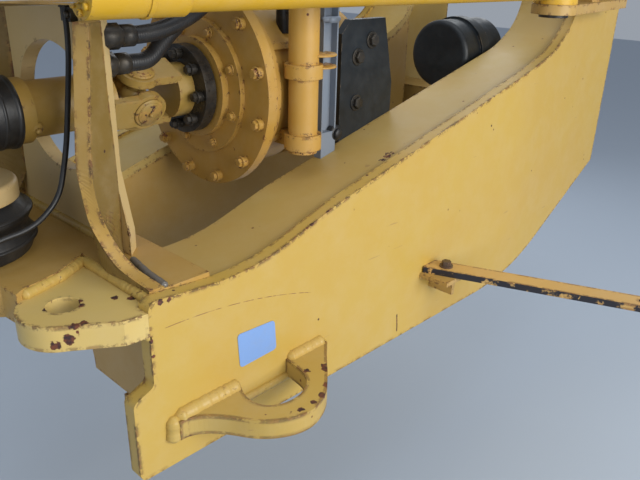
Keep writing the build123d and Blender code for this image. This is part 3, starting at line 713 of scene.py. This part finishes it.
def add_bulkhead():
    """The bulkhead, its rear edges ground away towards the uprights."""
    corners = BULK_HALF + [(-y, z) for y, z in reversed(BULK_HALF)]
    angles = [2 * math.pi * k / BULK_RAYS for k in range(BULK_RAYS)]
    angles += [math.atan2(z - SHAFT_Z, y) % (2 * math.pi) for y, z in corners]
    angles = sorted(set(round(angle, 6) for angle in angles))
    rays = [(math.cos(angle), math.sin(angle)) for angle in angles]
    outer = []
    inner = []
    for ray in rays:
        reach = outline_reach(corners, ray)
        outer.append((ray[0] * reach, SHAFT_Z + ray[1] * reach))
        length = 1 / math.hypot(ray[0] / BULK_OVAL[0], ray[1] / BULK_OVAL[1])
        inner.append((ray[0] * length, SHAFT_Z + ray[1] * length))
    narrow = [(ground_away(y), z) for y, z in outer]
    mesh = bmesh.new()
    loops = []
    for x, line in ((BULK_FRONT, inner), (BULK_FRONT, outer), (BULK_REAR, narrow), (BULK_REAR, inner)):
        loops.append([mesh.verts.new((x, y, z)) for y, z in line])
    add_walls(mesh, loops + loops[:1])
    made = piece("oval_bulkhead", mesh, "wall", smooth=False)
    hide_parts("bulkhead")


# Weld seams of the left side, which the right side repeats, as (points, radius)
SEAM_Y = OUTER_Y + 0.001
SEAMS = {
    "weld_wing_sweep": ([(-0.192, 0.385, 0.002), (-0.197, 0.320, 0.002), (-0.210, 0.250, 0.002)], 0.007),
    "weld_ear_front": ([(-0.134, OUTER_Y, -0.064), (-0.134, 0.388, -0.064)], 0.007),
    "weld_lug_front": ([(-0.170, SEAM_Y, LUG_TOP), (-0.318, SEAM_Y, LUG_TOP)], 0.017),
    "weld_lug_back": ([(-0.450, SEAM_Y, LUG_TOP), (-0.556, SEAM_Y, LUG_TOP)], 0.015),
    "weld_lug_end": ([(-0.166, 0.419, -0.238), (-0.163, 0.420, -0.292)], 0.015),
    "weld_lug_tail": ([(-0.558, 0.419, LUG_TOP), (-0.558, 0.419, LUG_BOTTOM)], 0.009),
    "weld_lug_under": ([(-0.170, SEAM_Y, -0.286), (-0.556, SEAM_Y, -0.286)], 0.009),
    "weld_ear_seam": ([(-0.010, 0.229, -0.012), (-0.090, 0.203, -0.012), (-0.157, 0.164, -0.012)], 0.011),
    "weld_ear_wing": ([(-0.157, 0.166, -0.012), (-0.157, 0.384, -0.012)], 0.011),
}

# Seams that stand once
SINGLE_SEAMS = {
    "weld_bulkhead_foot": ([(-0.218, -0.232, 0.003), (-0.218, 0.172, 0.003)], 0.010),
    "weld_brace_bracket": ([(-0.912, 0.419, -0.2145), (-1.005, 0.419, -0.2145)], 0.006),
}


def add_welds():
    for name, (points, radius) in SEAMS.items():
        look = "bare_weld" if name == "weld_wing_sweep" else "weld"
        weld(name + "_left", points, radius, look)
        weld(name + "_right", both(points), radius, look)
    for name, (points, radius) in SINGLE_SEAMS.items():
        weld(name, points, radius)


# The blank decal on the left side, its corners as (x, z)
DECAL_CORNERS = [(-0.3185, -0.134), (-0.4135, -0.139), (-0.4185, -0.207), (-0.3235, -0.210)]
DECAL_GAP = 0.0004
DECAL_THICK = 0.0008
DECAL_CORNER_R = 0.008


def add_decal():
    mesh = bmesh.new()
    mesh.faces.new([mesh.verts.new((x, OUTER_Y + DECAL_GAP, z)) for x, z in DECAL_CORNERS])
    corners = list(mesh.verts)
    bmesh.ops.bevel(mesh, geom=corners, offset=DECAL_CORNER_R, segments=6, affect="VERTICES", profile=0.5)
    raised = bmesh.ops.extrude_face_region(mesh, geom=list(mesh.faces))
    for element in raised["geom"]:
        if isinstance(element, bmesh.types.BMVert):
            element.co.y += DECAL_THICK
    piece("blank_decal_plate", mesh, "decal", smooth=False)


# Small turned parts as stacked layers, each (radius, height, sides, chamfer as a part of the height)
GAUGE_PLUG = [(0.020, 0.016, 24, 0.3), (0.012, 0.008, 20, 0.3)]
COLUMN_BAND = [(0.0445, 0.004, 32, 0.4)]
CLIP_PIN = [(0.006, 0.058, 12, 0.1)]
CLIP_BLOCK = [(0.020, 0.012, 4, 0.2, math.pi / 4)]
BEARING_CAP = [(0.0335, 0.004, 40, 0.5), (0.027, 0.002, 40, 0.6), (0.004, 0.008, 12, 0.2)]
GREASE_BOSS = [(0.013, 0.012, 16, 0.3), (0.005, 0.008, 12, 0.2)]
SLEEVE_COLLAR = [(0.0685, 0.010, 48, 0.3)]
SLEEVE_LIP = [(0.0675, 0.006, 48, 0.3)]
BOOT_LOWER_BAND = [(0.137, 0.006, 64, 0.4)]
BOOT_UPPER_BAND = [(0.1345, 0.005, 64, 0.4)]
HOSE_FRONT_END = [(0.023, 0.046, 6, 0.07), (0.0195, 0.030, 28, 0.15)]
HOSE_REAR_END = [(0.023, 0.020, 6, 0.15), (0.0195, 0.028, 28, 0.15)]
CLAMP_NUT = [(0.011, 0.008, 6, 0.2)]
GLAND_SCREW = [(0.0055, 0.006, 12, 0.2)]

# Places round the transmission: bolts of its ring and mounts, the gauge's plugs and clip, the column's bands
RING_FACE_X = RING_X + 0.0125
MOUNT_BOLTS = [(-0.880, 0.187, 0.312), (-0.962, 0.187, 0.330), (-0.880, 0.187, 0.200)]
MOUNT_HEADS = [(-0.880, 0.207, 0.309), (-0.930, 0.207, 0.345), (-0.880, 0.207, 0.200)]
PLUG_PLACES = [(-0.712, 0.215, 0.150), (-0.788, 0.215, 0.142)]
CLIP_PIN_PLACE = (-0.730, 0.230, 0.402)
CLIP_BLOCK_PLACE = (-0.759, 0.226, 0.395)
BAND_PLACES = [(-0.710, 0.234, 0.305), (-0.710, 0.234, 0.330)]


def ring_spots(radius, count, start):
    """Places evenly round the shaft's axis on the output ring, from a start angle in degrees."""
    angles = [math.radians(start + 360 / count * index) for index in range(count)]
    return [(RING_FACE_X, radius * math.sin(angle), SHAFT_Z + radius * math.cos(angle)) for angle in angles]


def add_transmission_detail():
    bolts("ring_bolts", ring_spots(radius=0.210, count=12, start=15), FORWARD, size=0.0105, height=0.010)
    bolts("hub_bolts", ring_spots(radius=0.132, count=8, start=22), FORWARD, size=0.009, height=0.010)
    bolts("mount_bolts_left", MOUNT_BOLTS, RIGHT, size=0.013, height=0.012, look="steel")
    for side, spots, axis in (("left", MOUNT_HEADS, LEFT), ("right", both(MOUNT_HEADS), RIGHT)):
        bolts("mount_heads_" + side, spots, axis, size=0.015, height=0.013, look="steel")
    plugs = [row for place in PLUG_PLACES for row in stack(place, LEFT, GAUGE_PLUG)]
    discs("gauge_plugs", plugs, "rubber")
    bands = [row for place in BAND_PLACES for row in stack(place, UP, COLUMN_BAND)]
    discs("column_bands", bands, "case")
    clip = stack(CLIP_PIN_PLACE, REARWARD, CLIP_PIN) + stack(CLIP_BLOCK_PLACE, UP, CLIP_BLOCK)
    discs("gauge_clip", clip, "alloy")


# Sizes on the drive shaft
YOKE_TURN = math.radians(-27)
CAP_OUT = 0.0628
GREASE_X = CORNER_X + 0.005
GREASE_OUT = 0.050
FLANGE_FACE_X = CORNER_X - 0.340
FLANGE_BOLTS = 8
FLANGE_BOLT_CIRCLE = 0.078
SLEEVE_COLLAR_X = CORNER_X + 0.032
SLEEVE_LIP_X = CORNER_X + 0.060


def turned_way(y, z):
    """A direction across the drive shaft, turned with its yoke about the shaft's axis."""
    across = y * math.cos(YOKE_TURN) - z * math.sin(YOKE_TURN)
    return Vector((0, across, y * math.sin(YOKE_TURN) + z * math.cos(YOKE_TURN)))


def turned(x, y, z):
    """A place on the drive shaft, turned the same way."""
    return Vector((x, 0, SHAFT_Z)) + turned_way(y, z)


def add_shaft_detail():
    side = turned_way(1, 0)
    for name, way in (("bearing_caps_side", side), ("bearing_caps_up", turned_way(0, 1))):
        caps = []
        for axis in (way, -way):
            caps += stack(Vector((JOINT_X, 0, SHAFT_Z)) + axis * CAP_OUT, axis, BEARING_CAP)
        discs(name, caps, "shaft", "drive_line")
    discs("grease_boss", stack(turned(GREASE_X, GREASE_OUT, 0), side, GREASE_BOSS), "shaft", "drive_line")
    spots = []
    for index in range(FLANGE_BOLTS):
        angle = 2 * math.pi * (index + 0.5) / FLANGE_BOLTS
        y = FLANGE_BOLT_CIRCLE * math.sin(angle)
        spots.append(turned(FLANGE_FACE_X, y, FLANGE_BOLT_CIRCLE * math.cos(angle)))
    bolts(
        "flange_bolts", spots, FORWARD, size=0.010, height=0.012, look="steel", body="drive_line",
    )
    rings = stack((SLEEVE_COLLAR_X, 0, SHAFT_Z), FORWARD, SLEEVE_COLLAR)
    rings += stack((SLEEVE_LIP_X, 0, SHAFT_Z), FORWARD, SLEEVE_LIP)
    discs("sleeve_rings", rings, "sleeve", "drive_line")


BOOT_LOWER_BAND_Z = 0.026
BOOT_UPPER_BAND_Z = 0.078


def add_hinge_detail():
    bands = stack((0, 0, BOOT_LOWER_BAND_Z), UP, BOOT_LOWER_BAND)
    bands += stack((0, 0, BOOT_UPPER_BAND_Z), UP, BOOT_UPPER_BAND)
    discs("boot_bands", bands, "rubber")


# Where the hoses meet the bulkhead and their ports, and the cable clamp's nut and bolt
HOSE_FRONT_PLACES = [(-0.224, 0.146, 0.338), (-0.224, 0.172, 0.390)]
HOSE_REAR_PLACES = [(-0.638, 0.076, 0.449), (-0.703, 0.142, 0.449)]
CLAMP_NUT_PLACE = (-0.204, 0.112, 0.437)
CLAMP_BOLT_PLACE = (-0.204, 0.126, 0.425)


def add_hose_detail():
    front = [row for place in HOSE_FRONT_PLACES for row in stack(place, REARWARD, HOSE_FRONT_END)]
    discs("hose_ends", front, "steel")
    rear = [row for place in HOSE_REAR_PLACES for row in stack(place, UP, HOSE_REAR_END)]
    discs("hose_ends_rear", rear, "steel")
    mesh = bmesh.new()
    for row in stack(CLAMP_NUT_PLACE, UP, CLAMP_NUT):
        add_disc(mesh, *row)
    add_bolt(mesh, CLAMP_BOLT_PLACE, FORWARD, size=0.007, height=0.008)
    piece("clamp_bolt", mesh, "steel")


# Steering cylinders: the left one's base pin, its lean inwards, and its gland's face and screws
STEER_PIN = (-1.378, 0.447, 0.478)
STEER_YAW = math.radians(5.44)
GLAND_FACE = 1.262
GLAND_SCREWS = 8
GLAND_SCREW_CIRCLE = 0.033


def add_steer_detail():
    """Cap screws round each gland."""
    for side, sign in SIDES:
        direction = Vector((math.cos(STEER_YAW), -sign * math.sin(STEER_YAW), 0))
        centre = Vector((STEER_PIN[0], sign * STEER_PIN[1], STEER_PIN[2])) + direction * GLAND_FACE
        sideways = Vector(UP).cross(direction)
        screws = []
        for index in range(GLAND_SCREWS):
            angle = 2 * math.pi * index / GLAND_SCREWS
            out = sideways * math.cos(angle) + Vector(UP) * math.sin(angle)
            screws += stack(centre + out * GLAND_SCREW_CIRCLE, direction, GLAND_SCREW)
        discs("gland_screws_" + side, screws, "steer", "steer_barrel_" + side)


def set_camera():
    data = bpy.data.cameras.new("photo_camera")
    data.lens = CAMERA_LENS
    data.sensor_width = CAMERA_SENSOR
    data.sensor_fit = "HORIZONTAL"
    data.clip_start = CAMERA_NEAR
    camera = bpy.data.objects.new("photo_camera", data)
    bpy.context.scene.collection.objects.link(camera)
    turn = Matrix((CAMERA_RIGHT, CAMERA_UP, CAMERA_BACK)).transposed()
    camera.matrix_world = Matrix.Translation(CAMERA_PLACE) @ turn.to_4x4()
    bpy.context.scene.camera = camera


# Lights as (name, place, target, size, power, colour)
LIGHTS = [
    ("key", (-0.7, 4.0, 1.1), (-0.8, 0.2, -0.1), (3.4, 2.2), 160, (1.0, 0.99, 0.96)),
    ("front", (3.2, 1.0, 0.6), (-0.3, 0.1, 0.1), (2.4, 1.8), 16, (0.93, 0.97, 1.0)),
    ("top", (-0.6, 0.2, 3.4), (-0.6, 0.1, 0), (3.4, 3.4), 44, (0.95, 0.98, 1.0)),
    ("rear_fill", (-3.2, -1.6, 1.4), (-0.8, 0, 0.1), (2.6, 2.0), 22, (0.95, 0.98, 1.0)),
]


def area_light(name, place, target, size, power, colour):
    data = bpy.data.lights.new(name, "AREA")
    data.shape = "RECTANGLE"
    data.size = size[0]
    data.size_y = size[1]
    data.energy = power
    data.color = colour
    lamp = bpy.data.objects.new(name, data)
    bpy.context.scene.collection.objects.link(lamp)
    lamp.location = place
    lamp.rotation_euler = (Vector(place) - Vector(target)).to_track_quat("Z", "Y").to_euler()


def add_floor():
    mesh = bmesh.new()
    bmesh.ops.create_grid(mesh, x_segments=8, y_segments=8, size=FLOOR_HALF)
    data = bpy.data.meshes.new("studio_floor")
    mesh.to_mesh(data)
    mesh.free()
    floor = bpy.data.objects.new("studio_floor", data)
    floor.location = (0, 0, FLOOR_Z)
    bpy.context.scene.collection.objects.link(floor)
    data.materials.append(plain_ground("studio_floor", FLOOR_COLOUR))


def set_stage():
    add_floor()
    for light in LIGHTS:
        area_light(*light)
    world = bpy.data.worlds.new("studio")
    world.use_nodes = True
    background = world.node_tree.nodes["Background"]
    background.inputs["Color"].default_value = SKY
    background.inputs["Strength"].default_value = SKY_STRENGTH
    bpy.context.scene.world = world
    bpy.context.scene.view_settings.view_transform = "Standard"


set_camera()
set_stage()
dress_nodes()
add_wings()
add_lugs()
add_bulkhead()
add_welds()
add_decal()
add_transmission_detail()
add_shaft_detail()
add_hinge_detail()
add_hose_detail()
add_steer_detail()
